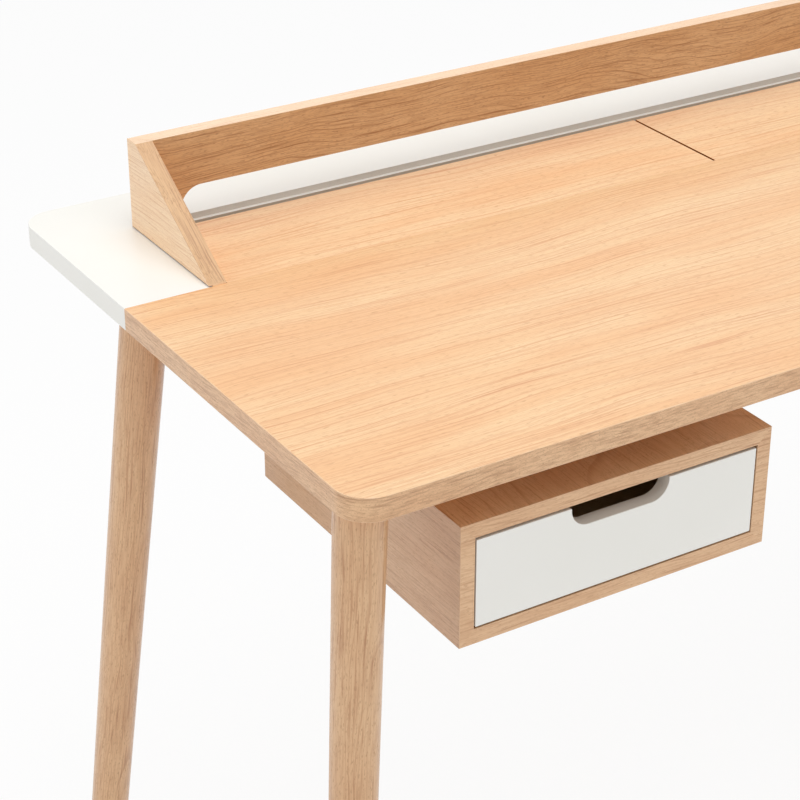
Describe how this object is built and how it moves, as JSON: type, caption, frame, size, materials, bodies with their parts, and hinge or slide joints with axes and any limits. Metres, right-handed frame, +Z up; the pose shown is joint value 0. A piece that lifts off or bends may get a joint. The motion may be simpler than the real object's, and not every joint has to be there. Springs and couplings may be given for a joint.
{
  "type": "writing desk with low gallery",
  "caption": "Oak writing desk with splayed round legs, a low raking gallery, hinged lids over a lead compartment and a white-fronted drawer case hung below the top.",
  "frame": {"origin": "on the floor, under the middle of the desk's overall box", "axes": "+X to the sitter's right along the desk, +Y to the back, +Z up"},
  "size_m": [1.5992, 0.7586, 0.852],
  "materials": {
    "oak": "clear matt oil",
    "pale_wood": "planed, clear",
    "white_lacquer": "satin lacquer on board",
    "grey_board": "matt",
    "steel": "zinc plated",
    "blackened_steel": "blackened",
    "brass": "turned",
    "rubber": "matt",
    "glide_plastic": "moulded"
  },
  "bodies": {
    "desk_frame": {"leg_front_left": "oak", "leg_front_right": "oak", "leg_rear_left": "oak", "leg_rear_right": "oak", "left_bearer": "oak", "right_bearer": "oak", "gallery_left_end": "oak", "gallery_right_end": "oak", "gallery_back_panel": "oak", "case_bottom": "oak", "case_top": "oak", "case_left_side": "oak", "case_right_side": "oak", "case_spacer_front": "oak", "case_spacer_rear": "oak", "front_board": "oak", "board_dowels": "pale_wood", "gallery_end_dowels": "pale_wood", "gallery_corner_dowels": "pale_wood", "case_dowels": "pale_wood", "runner_left": "pale_wood", "runner_right": "pale_wood", "case_back": "pale_wood", "rear_board": "white_lacquer", "tray_front_wall": "grey_board", "tray_rear_wall": "grey_board", "tray_floor": "grey_board", "tray_left_wall": "grey_board", "tray_right_wall": "grey_board", "tray_divider": "grey_board", "leg_hanger_bolts": "steel", "bearer_screws": "steel", "lid_outer_pins": "steel", "lid_centre_pin": "steel", "tray_screws": "steel", "tray_floor_screws": "steel", "case_bolts": "steel", "runner_screws": "steel", "lid_centre_plate": "blackened_steel", "leg_inserts": "brass", "lid_buffers": "rubber", "drawer_stops": "rubber", "leg_glides": "glide_plastic"},
    "drawer_box": {"drawer_front": "white_lacquer", "drawer_left_side": "pale_wood", "drawer_right_side": "pale_wood", "drawer_back": "pale_wood", "drawer_bottom": "pale_wood", "drawer_dowels": "pale_wood"},
    "left_lid": {"lid_left": "oak", "lid_left_bushes": "brass"},
    "right_lid": {"lid_right": "oak", "lid_right_bushes": "brass"}
  },
  "joints": [
    {"name": "drawer_slide", "type": "slide", "parent": "desk_frame", "child": "drawer_box", "axis": [0, -1, 0], "range_m": [0, 0.27]},
    {"name": "left_lid_hinge", "type": "hinge", "parent": "desk_frame", "child": "left_lid", "pos_m": [-0.3, 0.13049, 0.744], "axis": [1, 0, 0], "range_deg": [0, 100]},
    {"name": "right_lid_hinge", "type": "hinge", "parent": "desk_frame", "child": "right_lid", "pos_m": [0.3, 0.13049, 0.744], "axis": [1, 0, 0], "range_deg": [0, 100]}
  ]
}
